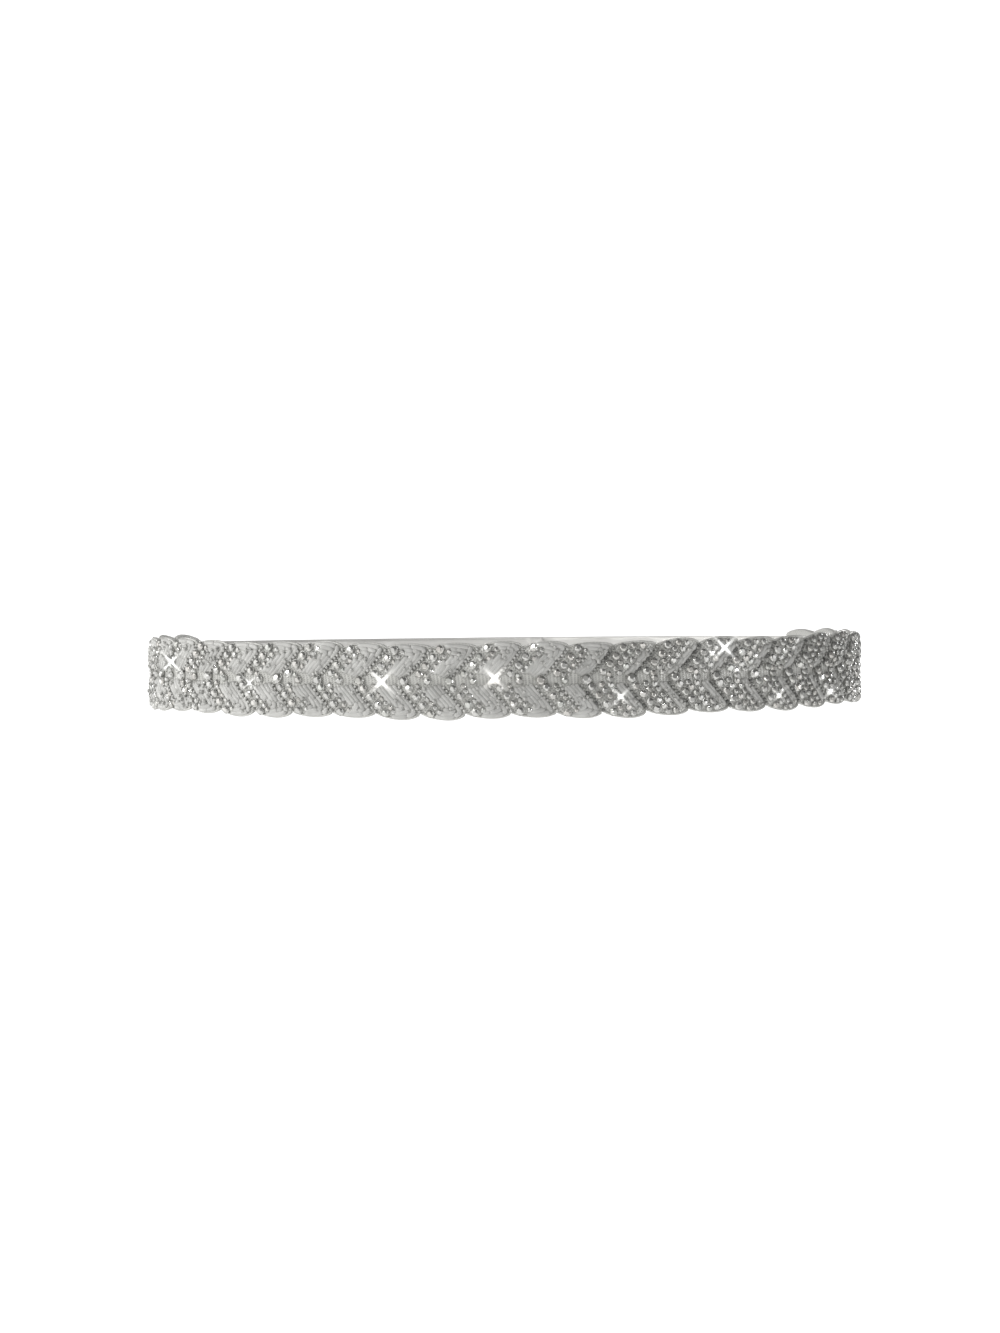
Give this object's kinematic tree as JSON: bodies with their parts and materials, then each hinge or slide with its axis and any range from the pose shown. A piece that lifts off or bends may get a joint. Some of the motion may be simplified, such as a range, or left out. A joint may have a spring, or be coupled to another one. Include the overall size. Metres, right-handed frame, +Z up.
{
  "type": "bridal sash",
  "caption": "Bridal sash worn round the waist: white satin ribbon hooked at centre back, with a raised silver herringbone of rhinestones and beads over its front and sides.",
  "frame": {"origin": "middle of the waist opening, level with the middle of the band at the sides", "axes": "+Z up, centre front towards -Y, +X on the right of someone who looks at the front"},
  "size_m": [0.2721, 0.1898, 0.0303],
  "materials": {
    "satin": "white satin",
    "beadwork": "silver beadwork on net",
    "nickel": "nickel plate",
    "rhinestone": "cut and foiled",
    "silver": "silver plate",
    "glass_bead": "silver lined",
    "thread": "sewing thread"
  },
  "bodies": {
    "root": {"satin_ribbon": "satin", "beaded_applique": "beadwork", "hook_upper": "nickel", "hook_lower": "nickel", "bar_upper": "nickel", "bar_lower": "nickel"}
  },
  "joints": []
}
